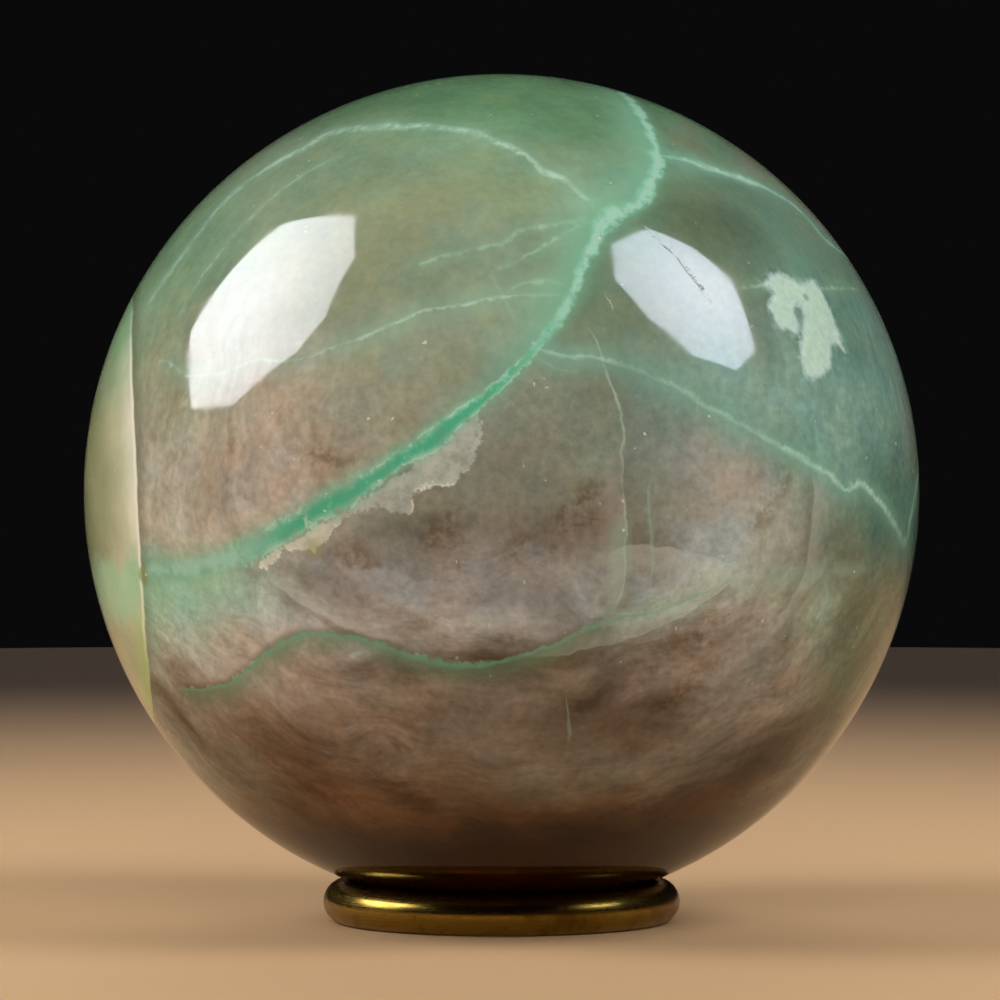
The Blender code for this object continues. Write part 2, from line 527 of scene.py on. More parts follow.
CHANNELS = {
    "trunk": {"reach": 6.0, "lines": [TRUNK], "closed": True},
    "limbs": {"reach": 4.5, "lines": [UPPER_LIMB, LOWER_LIMB, LOW_VEIN, BACK_VEIN, BACK_VEIN_HIGH]},
    "threads": {"reach": 2.4, "lines": [UPPER_ARC, MIDDLE_THREAD, *BACK_THREADS]},
    "fine_threads": {"reach": 1.8, "lines": [INNER_ARC, *FAINT_BRANCHES, SPUR, LEVEL_THREAD]},
    "wisps": {"reach": 2.0, "lines": [DIAGONAL, PALE_BAND, SHORT_WISP, *UPRIGHT_WISPS]},
    "seam": {"reach": 3.0, "lines": [SEAM]},
    "ledges": {"reach": 2.6, "lines": [LEFT_LEDGE, RIGHT_LEDGE, ZONE_EDGE, LENS_TOP, *BACK_LEDGES]},
    "stains_and_lip_shadow": {"reach": 2.6, "lines": [*STAINS_AND_LIP_SHADOW, *BACK_STAINS]},
    "flaws": {"reach": 1.0, "lines": FLAWS},
    "cracks": {"reach": 1.8, "lines": [SURFACE_CRACK]},
    "cream": {"reach": 4.0, "lines": [CREAM_OUTLINE], "closed": True},
    "plate": {"reach": 5.0, "lines": [PLATE_OUTLINE], "closed": True},
}
STEP_MM = 0.3
TAPER_MM = 2.0


def follow(route, closed):
    """Evenly spaced points along a route over a ball of radius one, and the half width at each."""
    knots = np.array(route)
    if closed:
        line = np.vstack([knots[-1:], knots, knots[:2]])
    else:
        line = np.vstack([2 * knots[:1] - knots[1:2], knots, 2 * knots[-1:] - knots[-2:-1]])
    parts = []
    for before, start, end, after in zip(line, line[1:], line[2:], line[3:]):
        count = max(2, round(np.linalg.norm(end[:3] - start[:3]) * RADIUS_MM / STEP_MM))
        way = np.linspace(0.0, 1.0, count, endpoint=False)[:, None]
        bend = 2 * before - 5 * start + 4 * end - after
        twist = 3 * start - before - 3 * end + after
        parts.append(start + 0.5 * ((end - before) * way + bend * way**2 + twist * way**3))
    points = np.vstack(parts)
    widths = points[:, 3]
    points = points[:, :3] / np.linalg.norm(points[:, :3], axis=1, keepdims=True)
    return points, widths


def smooth(value):
    value = np.clip(value, 0.0, 1.0)
    return value * value * (3 - 2 * value)


def directions(mesh):
    """Where each point of the skin lies, as a direction from the stone's centre."""
    places = np.empty(len(mesh.vertices) * 3, dtype=np.float32)
    mesh.vertices.foreach_get("co", places)
    return (places.reshape(-1, 3) - np.array(STONE_CENTRE)) / STONE_RADIUS


def trace(mesh, name, lines, reach, closed=False):
    """Gives each point of the skin its signed distance to the nearest line, its half width and strength."""
    outward = directions(mesh)
    record = np.full((len(outward), 3), 1000.0, dtype=np.float32)
    for route in lines:
        points, widths = follow(route, closed)
        ahead = np.roll(points, -1, axis=0) - np.roll(points, 1, axis=0)
        if not closed:
            ahead[0] = points[1] - points[0]
            ahead[-1] = points[-1] - points[-2]
        ahead /= np.linalg.norm(ahead, axis=1, keepdims=True)
        aside = np.cross(ahead, points)
        steps = np.linalg.norm(np.diff(points, axis=0), axis=1) * RADIUS_MM
        run = np.concatenate([[0.0], np.cumsum(steps)])
        strength = smooth(run / TAPER_MM) * smooth((run[-1] - run) / TAPER_MM)
        if closed:
            strength = np.ones(len(points))
        nearest = (outward @ points.T).argmax(axis=1)
        away = (outward - points[nearest]) * RADIUS_MM
        across = (away * aside[nearest]).sum(axis=1)
        past = np.maximum(np.abs((away * ahead[nearest]).sum(axis=1)) - STEP_MM / 2, 0.0)
        distance = np.hypot(across, past)
        closer = distance < np.abs(record[:, 0])
        kept = nearest[closer]
        record[closer, 0] = (distance * np.where(across < 0, -1.0, 1.0))[closer]
        record[closer, 1] = widths[kept]
        record[closer, 2] = strength[kept] * smooth((reach - distance[closer]) / (0.35 * reach))
    attribute = mesh.attributes.new(name, "FLOAT_VECTOR", "POINT")
    attribute.data.foreach_set("vector", record.ravel())


# The node group that reads a traced line
def make_vein_group():
    """A traced line's ragged core, the signed distance from its middle, its strength and half width."""
    group = bpy.data.node_groups.new("vein", "ShaderNodeTree")
    group.interface.new_socket("Line", in_out="INPUT", socket_type="NodeSocketVector")
    for label in ("Sway", "Swell", "Wear", "Raggedness", "Softness", "Fading"):
        group.interface.new_socket(label, in_out="INPUT", socket_type="NodeSocketFloat")
    for label in ("Core", "Offset", "Strength", "Width"):
        group.interface.new_socket(label, in_out="OUTPUT", socket_type="NodeSocketFloat")
    start = group.nodes.new("NodeGroupInput")
    result = group.nodes.new("NodeGroupOutput").inputs
    given = named_wires(group, start)
    distance, half_width, presence = split(given.line)
    offset = distance + given.sway * given.raggedness
    width = half_width * (given.swell * 1.8 + 1.0)
    core = fade(abs(offset), width * (given.softness + 1.0), width * (1.0 - given.softness))
    strength = presence * (1.0 - given.wear * given.fading)
    fill(group, result["Core"], core * strength)
    fill(group, result["Offset"], offset)
    fill(group, result["Strength"], strength)
    fill(group, result["Width"], width)
    return group


# The front's colours: shade, centre, half width and height in pixels, turn in degrees, softness, strength
FRONT_GROUND = "8f8e7c"
FRONT_PATCHES = [
    ("6a8c6a", (500, 190), (330, 130), 0, 0.7, 0.7),
    ("5b7f5b", (500, 70), (360, 75), 0, 0.5, 0.95),
    ("7e9473", (500, 190), (160, 50), 0, 0.8, 0.6),
    ("769f85", (612, 215), (110, 42), 57, 0.8, 0.75),
    ("85886a", (400, 262), (130, 70), 0, 0.8, 0.8),
    ("7aa07a", (158, 285), (150, 42), 60, 0.7, 0.9),
    ("82997a", (230, 235), (80, 40), 55, 0.8, 0.5),
    ("aaa689", (165, 445), (60, 120), 0, 0.7, 0.8),
    ("bbae9b", (236, 462), (110, 90), 0, 0.8, 0.9),
    ("a5917f", (300, 435), (70, 70), 0, 0.8, 0.65),
    ("8e9579", (195, 362), (62, 58), 20, 0.8, 0.65),
    ("bba88e", (340, 395), (70, 50), 0, 0.8, 0.5),
    ("8f927a", (400, 385), (80, 50), 20, 0.8, 0.7),
    ("88937b", (445, 330), (90, 35), 10, 0.8, 0.6),
    ("84967c", (480, 268), (50, 34), 0, 0.8, 0.6),
    ("94d2b0", (196, 600), (92, 36), 8, 0.8, 0.92),
    ("d2c9bb", (270, 645), (95, 50), 0, 0.8, 0.9),
    ("788470", (575, 405), (90, 60), 0, 0.8, 0.8),
    ("788478", (660, 462), (52, 74), 0, 0.8, 0.8),
    ("a39b8e", (740, 500), (75, 62), 0, 0.7, 0.85),
    ("8f7762", (768, 466), (22, 30), -20, 0.8, 0.4),
    ("807a6a", (505, 448), (80, 40), 25, 0.8, 0.6),
    ("6b5d4f", (540, 532), (62, 26), 14, 0.8, 0.75),
    ("75675a", (450, 528), (70, 22), 14, 0.8, 0.7),
    ("75675a", (590, 496), (44, 22), 48, 0.8, 0.6),
    ("7e7d6b", (480, 488), (60, 24), 10, 0.8, 0.5),
    ("a09c97", (395, 598), (150, 44), -8, 0.7, 0.88),
    ("938f8b", (560, 592), (150, 45), 0, 0.7, 0.8),
    ("a8afaa", (672, 578), (92, 40), 22, 0.7, 0.85),
    ("a6bda6", (672, 607), (84, 16), 24, 0.8, 0.55),
    ("6f6051", (500, 718), (260, 60), 0, 0.7, 0.9),
    ("b8b4ab", (430, 635), (95, 21), 6, 0.8, 0.85),
    ("302009", (622, 702), (66, 28), -10, 0.8, 0.95),
    ("8d7f6c", (574, 681), (32, 15), 0, 0.8, 0.7),
    ("917f6f", (312, 705), (135, 60), -35, 0.8, 0.8),
    ("938779", (765, 724), (112, 54), 38, 0.8, 0.72),
    ("978577", (700, 652), (90, 24), 38, 0.8, 0.7),
    # From here down the browns darken towards the bottom: partly the stone's own brown, partly painted shade
    ("6c4b2e", (335, 790), (140, 38), -36, 0.7, 0.85),
    ("3a260c", (704, 806), (165, 40), 34, 0.9, 0.92),
    ("563616", (480, 820), (260, 42), 0, 0.8, 0.95),
    ("6f5136", (362, 806), (105, 36), 18, 0.8, 0.85),
    ("54402e", (642, 738), (50, 20), 0, 0.8, 0.6),
    # Painted shade under the ball, over its own dark brown: the near-black band along the bottom
    ("2a1001", (495, 876), (370, 56), 0, 0.5, 1.0),
    ("72988a", (855, 400), (70, 150), 0, 0.6, 0.9),
    ("587d6c", (893, 535), (45, 85), -10, 0.7, 0.9),
    ("55624a", (862, 640), (62, 82), 20, 0.8, 0.92),
    ("608573", (775, 245), (110, 50), -42, 0.7, 0.85),
    ("83745f", (680, 124), (16, 9), -25, 0.9, 0.45),
    ("86796a", (737, 153), (18, 9), -38, 0.9, 0.45),
    ("a5a796", (775, 560), (34, 62), 12, 0.8, 0.55),
    ("66654c", (850, 570), (40, 60), 10, 0.8, 0.5),
    ("74826c", (805, 602), (32, 36), 0, 0.8, 0.6),
    ("5e6a52", (705, 225), (66, 36), -24, 0.8, 0.85),
    ("697860", (640, 320), (42, 60), 10, 0.8, 0.8),
    ("7da091", (740, 385), (75, 55), -15, 0.8, 0.85),
]
# The hidden side's colours: shade, longitude and latitude, reach across, away and up, softness, strength
BACK_GROUND = "83866f"
BACK_PATCHES = [
    ("6c9070", (180, 62), (0.70, 0.70, 0.30), 0.7, 0.9),
    ("84a98c", (150, 30), (0.40, 0.40, 0.24), 0.8, 0.8),
    ("8b8c68", (-150, 25), (0.36, 0.36, 0.26), 0.8, 0.8),
    ("a3927a", (-165, -8), (0.40, 0.40, 0.26), 0.8, 0.9),
    ("a5886f", (-140, -12), (0.20, 0.20, 0.20), 0.8, 0.6),
    ("9b9080", (150, -12), (0.36, 0.36, 0.24), 0.8, 0.8),
    ("6d8e80", (112, 5), (0.30, 0.34, 0.40), 0.7, 0.85),
    ("7f937c", (-120, 12), (0.26, 0.30, 0.36), 0.8, 0.8),
    ("665643", (172, -30), (0.34, 0.34, 0.10), 0.8, 0.7),
    ("8a7c6c", (-120, -35), (0.34, 0.34, 0.16), 0.8, 0.7),
    ("77665a", (140, -42), (0.40, 0.40, 0.14), 0.8, 0.8),
    # Darker towards the bottom pole: partly the stone's own brown, partly painted shade, as on the front
    ("5f4630", (180, -62), (0.80, 0.80, 0.24), 0.7, 0.95),
    ("47290f", (0, -90), (0.60, 0.60, 0.16), 0.6, 0.95),
]
# Where the fibres stand upright, on the left and on the right: centre, half width and height in pixels, turn
FIBRE_ZONES = [((235, 430), (125, 150), 0), ((850, 400), (100, 150), 0)]
# Without a seed of its own, the slow noise would start from the clock and differ in each run
DRIFT_SEED = 13


def in_sight(direction):
    """A direction from the stone's centre as the camera sees it: right, away and up."""
    return Vector((direction.dot(ACROSS), -direction.dot(TO_CAMERA), direction.dot(UPWARD)))


def oval(place, centre, reach, turn=0.0, softness=0.7):
    """How far each place lies inside a soft oval: one at its centre, a half at its reach, nought outside."""
    local = place - np.array(centre)
    swing_cos, swing_sin = math.cos(math.radians(turn)), math.sin(math.radians(turn))
    along = local[:, 0] * swing_cos + local[:, 2] * swing_sin
    across = local[:, 2] * swing_cos - local[:, 0] * swing_sin
    far = np.sqrt((along / reach[0])**2 + (local[:, 1] / reach[1])**2 + (across / reach[2])**2)
    return smooth((1 + softness - far) / (2 * softness))


def seen_oval(place, centre, half, turn=0.0, softness=0.7):
    """An oval of the side that faces the camera, given in pixels and degrees."""
    reach = (half[0] / STONE_RADIUS_PX, 1000.0, half[1] / STONE_RADIUS_PX)
    return oval(place, in_sight(on_stone(*centre)), reach, turn, softness)


def lay_colour(ground, shade, mask):
    ground += (np.array(linear(shade)[:3]) - ground) * mask[:, None]


def drifted(place, size, amount):
    """Places moved about by slow noise, so that nothing laid out on them keeps a plain outline."""
    moved = [space_noise.noise_vector(Vector(point) * size) for point in place]
    return place + np.array(moved) * amount


def lay_ground(mesh):
    """Paints the slow changes of ground colour onto the skin, and marks where its fibres run."""
    outward = directions(mesh)
    place = outward @ np.array([ACROSS, -TO_CAMERA, UPWARD]).T
    space_noise.seed_set(DRIFT_SEED)
    place = drifted(drifted(place, 2.4, 0.07), 8.0, 0.025)
    front = np.tile(linear(FRONT_GROUND)[:3], (len(place), 1))
    for shade, centre, half, turn, softness, strength in FRONT_PATCHES:
        lay_colour(front, shade, seen_oval(place, centre, half, turn, softness) * strength)
    ground = np.tile(linear(BACK_GROUND)[:3], (len(place), 1))
    for shade, angles, reach, softness, strength in BACK_PATCHES:
        lay_colour(ground, shade, oval(place, in_sight(by_angles(*angles)), reach, 0.0, softness) * strength)
    facing = smooth((0.25 - place[:, 1]) / 0.35)
    ground += (front - ground) * facing[:, None]
    zones = [seen_oval(place, centre, half, turn, 0.45) * facing for centre, half, turn in FIBRE_ZONES]
    zones.append(1 - facing)
    for name, values in (("ground", ground), ("fibre_zones", np.stack(zones, axis=1))):
        attribute = mesh.attributes.new(name, "FLOAT_VECTOR", "POINT")
        attribute.data.foreach_set("vector", values.astype(np.float32).ravel())


# How the stone's layers of colour and wear are laid over each other
DARKEST_FACTOR = (0.25, 0.22, 0.20)
STAIN_AND_SHADOW_FACTOR = (0.54, 0.44, 0.33, 1.0)
CLEAVAGE_FACING = (0.9986, 0.016, 0.0508)
CLEAVAGE_DEPTH = 0.8534
GROOVE_DEPTH = 0.000012


def stretched(place, scale, turn=(0.0, 0.0, 0.0)):
    return wire(place.tree, "ShaderNodeMapping", {"Vector": place, "Scale": scale, "Rotation": turn})


def pushed(place, shift, amount):
    """A position pushed about by the colour of a noise."""
    tree = place.tree
    push = vector_calc(tree, "SUBTRACT", {0: shift, 1: (0.5, 0.5, 0.5)})
    push = vector_calc(tree, "SCALE", {0: push, "Scale": amount})
    return vector_calc(tree, "ADD", {0: place, 1: push})


def attribute(tree, name):
    return wire(tree, "ShaderNodeAttribute", output="Vector", attribute_name=name)


def read_line(skin, name, **shape):
    """What the vein group says of a traced line: core, offset, strength and width."""
    node = add_node(skin.tree, "ShaderNodeGroup", node_tree=skin.vein)
    given = {"line": attribute(skin.tree, name), "sway": skin.sway, "swell": skin.swell, "wear": skin.wear}
    for label, value in (given | shape).items():
        fill(skin.tree, node.inputs[label.capitalize()], value)
    return named_wires(skin.tree, node)


def look_over(tree):
    """The places, on a ball of radius one as the camera sees it, and the noises that all layers share."""
    skin = SimpleNamespace(tree=tree, vein=make_vein_group())
    turn = Euler((CAMERA_RISE, 0.0, 0.0))
    centre = STONE_CENTRE / STONE_RADIUS
    centre.rotate(turn)
    skin.place = wire(tree, "ShaderNodeMapping", {
        "Vector": wire(tree, "ShaderNodeTexCoord", output="Object"),
        "Scale": (1 / STONE_RADIUS,) * 3, "Rotation": turn, "Location": -centre,
    })
    skin.right, skin.away, skin.up = split(skin.place)
    shift = noise(skin.place, 4.0, 1.0, output="Color")
    flat = wire(tree, "ShaderNodeCombineXYZ", {0: skin.right, 1: skin.away})
    girdle = vector_calc(tree, "NORMALIZE", {0: flat})
    risen = wire(tree, "ShaderNodeCombineXYZ", {2: skin.up})
    skin.globe = pushed(vector_calc(tree, "ADD", {0: girdle, 1: risen}), shift, 0.22)
    skin.sag = pushed(stretched(skin.place, (1.0, 1.0, 1.0), (math.radians(-45.0), 0.0, 0.0)), shift, 0.22)
    skin.sway = swing(skin.place, 13.0, 3.0)
    skin.fine = swing(skin.place, 48.0, 3.0)
    skin.swell = swing(skin.place, 9.0, 2.0)
    skin.wear = fade(skin.swell, 0.10, -0.14)
    skin.frost = swing(skin.place, 24.0, 3.0, 0.7)
    skin.grain = swing(skin.place, 120.0, 1.0)
    skin.cloud = swing(skin.place, 5.0, 5.0, 0.66)
    return skin


def vary(colour, sway, gains):
    """Brightens and darkens a colour along with a noise; unequal gains change its hue as well."""
    tree = colour.tree
    factor = vector_calc(tree, "SCALE", {0: gains, "Scale": sway})
    factor = vector_calc(tree, "ADD", {0: factor, 1: (1.0, 1.0, 1.0)})
    factor = vector_calc(tree, "MAXIMUM", {0: factor, 1: DARKEST_FACTOR})
    return vector_calc(tree, "MULTIPLY", {0: colour, 1: factor})


def lay_fibres(skin, colour):
    """Fibres that run up and down like the meridians of a globe, on the left and on the right."""
    left, right, behind = split(attribute(skin.tree, "fibre_zones"))
    wisps = swing(stretched(skin.globe, (7.0, 7.0, 1.8)), 1.0, 4.0, 0.72)
    hairs = swing(stretched(skin.globe, (36.0, 36.0, 7.0)), 1.0, 1.0, 0.6)
    warm = left + behind * 0.6
    cool = right + behind * 0.2
    colour = vary(colour, wisps * warm, (1.6, 1.75, 1.95))
    colour = vary(colour, wisps * cool, (1.3, 1.0, 1.0))
    patchy = (warm + cool) * fade(skin.cloud, -0.14, 0.10, 0.1, 1.0)
    return vary(colour, hairs * patchy, (0.28, 0.32, 0.36))


def lay_streaks(skin, colour):
    """Brown and pinkish streaks of the lower half, sagging like cloth."""
    zone = fade(skin.up, 0.02, -0.32)
    broad = swing(stretched(skin.sag, (2.2, 2.2, 6.5)), 1.0, 5.0, 0.68)
    thin = swing(stretched(skin.sag, (7.0, 7.0, 24.0)), 1.0, 3.0, 0.7)
    patchy = zone * fade(skin.cloud, -0.12, 0.12, 0.1, 1.0)
    colour = vary(colour, broad * zone, (2.9, 3.3, 3.7))
    return vary(colour, thin * patchy, (0.7, 0.8, 0.9))


def lay_clouds(skin, colour):
    """Clouds and fine mottling inside the stone, its brown stains, and a painted shadow under the pale
    plate's lip.
    """
    colour = vary(colour, skin.cloud, (1.0, 0.9, 0.9))
    colour = vary(colour, skin.swell, (0.35, 0.0, -0.30))
    mottled = fade(skin.up, 0.50, 0.12, 0.45, 1.0) * fade(skin.up, -0.9, -0.5, 0.5, 1.0)
    colour = vary(colour, skin.fine * mottled, (0.75, 0.8, 0.85))
    # Brown stains and the painted shadow under the plate's lip darken the colour here
    stain_and_shadow = read_line(skin, "stains_and_lip_shadow", raggedness=3.0, softness=0.95, fading=0.6)
    side = abs(stain_and_shadow.offset + skin.fine * 1.6)
    dark = fade(side, stain_and_shadow.width * 2.4, 0.0) * stain_and_shadow.strength * fade(skin.frost, 0.14, -0.10, 0.25, 1.0)
    return tint(dark * 0.66, colour, STAIN_AND_SHADOW_FACTOR, "MULTIPLY")


def lay_threads(skin, colour):
    """The seam, the ledges where the stone parts in steps, with painted light and painted shade on their two
    sides, and the thin threads.
    """
    seam = read_line(skin, "seam", raggedness=1.1, softness=0.8, fading=0.7)
    side = seam.offset + skin.fine * 0.4
    lower = fade(skin.up, 0.14, 0.0)
    lit = fade(side, 0.0, 0.12) * fade(side, 2.6, 0.2) * seam.strength * lower
    shaded = fade(side, 0.0, -0.12) * fade(side, -2.0, -0.2) * seam.strength
    colour = lay(colour, "aba598", lit * 0.30)
    colour = lay(colour, "68705c", shaded * 0.30)
    colour = lay(colour, "abbda6", seam.core * 0.55)
    ledge = read_line(skin, "ledges", raggedness=1.0, softness=0.6, fading=0.5)
    side = ledge.offset + skin.fine * 0.6
    # Painted light and shade of each step: a pale side above the ledge and a dark brown side below it
    above = fade(side, 0.10, -0.10) * fade(side, -2.5, -0.1) * ledge.strength
    below = fade(side, -0.08, 0.10) * fade(side, 1.9, 0.1) * ledge.strength
    colour = lay(colour, "b0afa2", above * 0.34)
    colour = lay(colour, "4c3b2b", below * 0.34)
    wisp = read_line(skin, "wisps", raggedness=0.8, softness=0.95, fading=0.6)
    colour = lay(colour, "94b098", fade(abs(wisp.offset), wisp.width * 2.6, 0.0) * wisp.strength * 0.38)
    frayed = fade(skin.frost, -0.10, 0.10, 0.30, 1.0)
    for name, spread, halo, shade, amount in (
        ("threads", 2.3, "8ab096", "b2d0bc", 0.70), ("fine_threads", 1.3, "86a68a", "9fbf9f", 0.70),
    ):
        thread = read_line(skin, name, raggedness=0.6, softness=0.95, fading=0.4)
        side = abs(thread.offset + skin.fine * 0.6)
        core = fade(side, thread.width * 2.6, 0.0)
        colour = lay(colour, halo, fade(side, spread, 0.0) * thread.strength * (amount * 0.5))
        colour = lay(colour, shade, core * frayed * thread.strength * amount)
    return colour


def lay_limbs(skin, colour):
    """The pale limbs of the great vein, and the low vein with its brown shadow and green foot."""
    limb = read_line(skin, "limbs", raggedness=0.9, softness=0.85, fading=0.2)
    side = limb.offset + skin.fine * 0.6
    near = abs(side)
    low = fade(skin.up, 0.0, -0.22) * fade(skin.away, 0.1, -0.1)
    high = 1.0 - low
    frayed = fade(skin.frost, -0.10, 0.08, 0.5, 0.95)
    wide = fade(near, 3.0, 0.0) * limb.strength * high
    close = fade(near, 1.6, 0.0) * limb.strength * high
    core = fade(near, limb.width * 2.0, 0.0) * limb.strength * frayed
    ends = larger(fade(skin.right, 0.42, 0.82, 0.34, 0.9), fade(skin.right, 0.40, 0.14, 0.0, 0.8))
    bright = larger(fade(skin.up, 0.30, 0.60, 0.0, 0.95), ends)
    skin.limb = close * bright
    colour = lay(colour, "749c86", wide * 0.35)
    colour = lay(colour, "7cae95", skin.limb * 0.54)
    colour = lay(colour, "b2d2be", core * high * bright)
    # The low vein: brown shadow above it, green foot and a pale strand below it, pale flecks along it
    dim = limb.strength * low * fade(skin.right, 0.30, 0.05)
    shadow = fade(side, 0.0, -0.2) * fade(side, -0.9, -0.2) * dim
    green = fade(side, -0.3, 0.1) * fade(side, 2.4, 0.2) * dim
    strand = fade(abs(side - 0.55), 0.22, 0.0) * dim * fade(skin.frost, 0.02, -0.12)
    fleck = fade(abs(side + 0.22), 0.16, 0.0) * dim * fade(skin.frost, 0.05, 0.14)
    colour = lay(colour, "54432f", shadow * 0.55)
    colour = lay(colour, "587a58", green * 0.62)
    colour = lay(colour, "6a9a74", strand * 0.6)
    colour = lay(colour, "66a380", core * low * fade(skin.right, 0.12, 0.42, 0.9, 0.5))
    return lay(colour, "b9c8a8", fleck * 0.5)


def lay_plate(skin, colour):
    """The pale plate under the heart of the great vein, with its torn white edge and yellow spot."""
    distance, width, strength = split(attribute(skin.tree, "plate"))
    inward = distance + (skin.fine * 1.4 + skin.grain * (width * 2.2))
    inside = fade(inward, -0.05, 0.15) * strength
    colour = lay(colour, "b8bcae", inside * fade(skin.frost, -0.16, 0.16, 0.44, 0.72))
    colour = lay(colour, "cfcbb4", inside * fade(skin.right, -0.36, -0.42) * 0.65)
    edge = fade(abs(inward), width * 0.9, 0.0) * strength
    edge = edge * fade(width, 0.05, 0.22, 0.15, 1.0) * fade(skin.frost, -0.08, 0.08, 0.15, 1.0)
    colour = lay(colour, "e0dcc9", edge * 0.80)
    colour = vary(colour, skin.frost * inside, (0.5, 0.45, 0.4))
    return lay(colour, "96925a", near_spot(skin, (314, 548), 0.034, 0.0, 0.03) * 0.65)


def lay_great_vein(skin, colour):
    """The great vein's wide glow, its mint skirts, its thin pale edges and its core."""
    trunk = read_line(skin, "trunk", raggedness=1.0, softness=0.45, fading=0.12)
    strength, frost = trunk.strength, skin.frost
    side = trunk.offset + skin.fine * 0.55
    top = fade(skin.up, 0.24, 0.40)
    heart = fade(skin.right, -0.66, -0.45) * fade(skin.up, 0.46, 0.22) * fade(skin.away, 0.2, -0.2)
    tail = fade(skin.right, -0.50, -0.72) * fade(skin.away, 0.1, -0.1)
    # Celadon haze on the upper left, olive dusk on the right of the top part, mint wash under the left end
    haze = fade(side, 5.2, 0.2) * fade(side, -0.4, 0.2) * strength * top
    dusk = fade(side, -3.6, -0.6) * fade(side, 0.1, -0.5) * strength * top * (1.0 - skin.limb)
    wash = fade(side, -5.5, -0.5) * fade(side, 0.4, -0.4) * tail * strength
    near = fade(side, 2.6, 0.3) * fade(side, -1.7, -0.3) * strength
    colour = lay(colour, "80b092", haze * 0.55)
    colour = lay(colour, "5c6f52", dusk * 0.50)
    colour = lay(colour, "8cba96", wash * 0.55)
    colour = lay(colour, "74a788", near * 0.50)
    # From the skirts inward
    far = abs(side / larger(trunk.width, 0.05))
    solid = 1.0 - tail * 0.35
    skirt = fade(far, 2.0, 0.8) * strength * solid * fade(frost, -0.16, 0.02, 0.55, 1.0)
    skirt_colour = tint(fade(frost, -0.06, 0.10), linear("78b898"), linear("9accb0"))
    colour = tint(skirt * 0.75, colour, skirt_colour)
    edge = abs(far - (skin.sway * 1.2 + 1.15))
    edge = fade(edge, 0.22, 0.0) * heart * strength * fade(frost, -0.06, 0.06)
    colour = lay(colour, "b4d8bc", edge * 0.46)
    core_colour = tint(heart, linear("9cc2ad"), linear("4aa57e"))
    core_colour = lay(core_colour, "94ccaa", fade(frost, 0.04, 0.22, 0.0, 0.55))
    core_colour = lay(core_colour, "3c8a66", fade(frost, -0.03, -0.2, 0.0, 0.4))
    core = fade(far, 1.15, 0.25) * strength * solid * fade(frost, -0.2, 0.0, 0.7, 0.95)
    colour = tint(core, colour, core_colour)
    flaw = read_line(skin, "flaws", raggedness=0.6, softness=0.7, fading=0.2)
    mark = fade(abs(flaw.offset + skin.fine * 0.7), flaw.width * 1.6, 0.0)
    return lay(colour, "d9dccb", mark * flaw.strength * fade(frost, -0.08, 0.06, 0.2, 1.0) * 0.8)


def lay_cap(skin, colour):
    """The cleavage on the left, a painted shadow along it, and the pale cap beyond it."""
    plane = vector_calc(skin.tree, "DOT_PRODUCT", {0: skin.place, 1: CLEAVAGE_FACING}, "Value")
    depth = (plane + CLEAVAGE_DEPTH) * RADIUS_MM + skin.swell * 0.35
    level = skin.up + skin.swell * 0.20
    cap = tint(fade(depth, -0.2, -3.8), linear("d2d0ae"), linear("a3a77c"))
    cap = lay(cap, "92b88c", fade(level, 0.12, 0.40))
    bright = fade(depth, -1.4, -0.1) * fade(level, 0.42, 0.2) * fade(level, -0.22, -0.05)
    cap = lay(cap, "e6e3cb", bright * 0.85)
    cap = lay(cap, "a6b084", fade(level, -0.22, -0.42, 0.0, 0.8))
    cap = lay(cap, "a6d0a6", fade(abs(level + 0.235), 0.095, 0.02, 0.0, 0.9))
    lime = fade(depth, -1.5, -0.3) * fade(level, -0.26, -0.32) * fade(level, -0.66, -0.46)
    cap = lay(cap, "b4cc7c", lime * 0.8)
    cap = vary(cap, skin.cloud, (0.8, 0.7, 0.7))
    line = fade(abs(depth + 0.16), 0.16, 0.04) * fade(level, 0.44, 0.30) * fade(level, -0.48, -0.22)
    cap = lay(cap, "f4f1e0", line * 0.85)
    # Painted shadow: a thin darker band on the stone's side of the cleavage
    colour = lay(colour, "5c5a42", fade(depth, 1.0, 0.0) * fade(depth, -0.1, 0.1) * 0.40)
    colour = tint(fade(depth, 0.05, -0.08) * 0.95, colour, cap)
    return lay(colour, "7c8a3c", near_spot(skin, (143, 575), 0.030, 0.012) * 0.7)


def near_spot(skin, pixel, outer, inner, raggedness=0.02):
    """A small round mask at a pixel of the front."""
    far = vector_calc(skin.tree, "DISTANCE", {0: skin.place, 1: in_sight(on_stone(*pixel))}, "Value")
    return fade(far + skin.fine * raggedness, outer, inner)


def lay_cream(skin, colour):
    """The opaque cream patch, and small pale flakes painted in as glints."""
    distance, _, strength = split(attribute(skin.tree, "cream"))
    inward = distance + skin.fine * 0.7
    hole = near_spot(skin, (806, 297), 0.016, 0.004)
    trail = fade(inward, -0.9, 0.1) * strength * fade(skin.frost, -0.04, 0.12)
    skin.cream = fade(inward, -0.32, 0.42) * strength * (1.0 - hole * 0.6)
    shade = tint(fade(inward, 0.1, 0.75), linear("c0d6cf"), linear("bdd6c2"))
    shade = vary(shade, skin.fine, (0.5, 0.35, 0.3))
    colour = lay(colour, "9dbcae", trail * 0.5)
    colour = tint(skin.cream * 0.88, colour, shade)
    # Painted glints: small pale flakes over all but the lowest part of the stone
    cells = add_node(skin.tree, "ShaderNodeTexVoronoi", {"Vector": skin.place, "Scale": 40.0}).outputs
    lot = split(Wire(skin.tree, cells["Color"]))[0]
    chosen = fade(lot, 0.94, 0.96) * fade(skin.up, -0.55, -0.25)
    skin.fleck = fade(Wire(skin.tree, cells["Distance"]) + skin.grain, 0.15, 0.0) * chosen
    return lay(colour, "dcdac6", skin.fleck * 0.6)


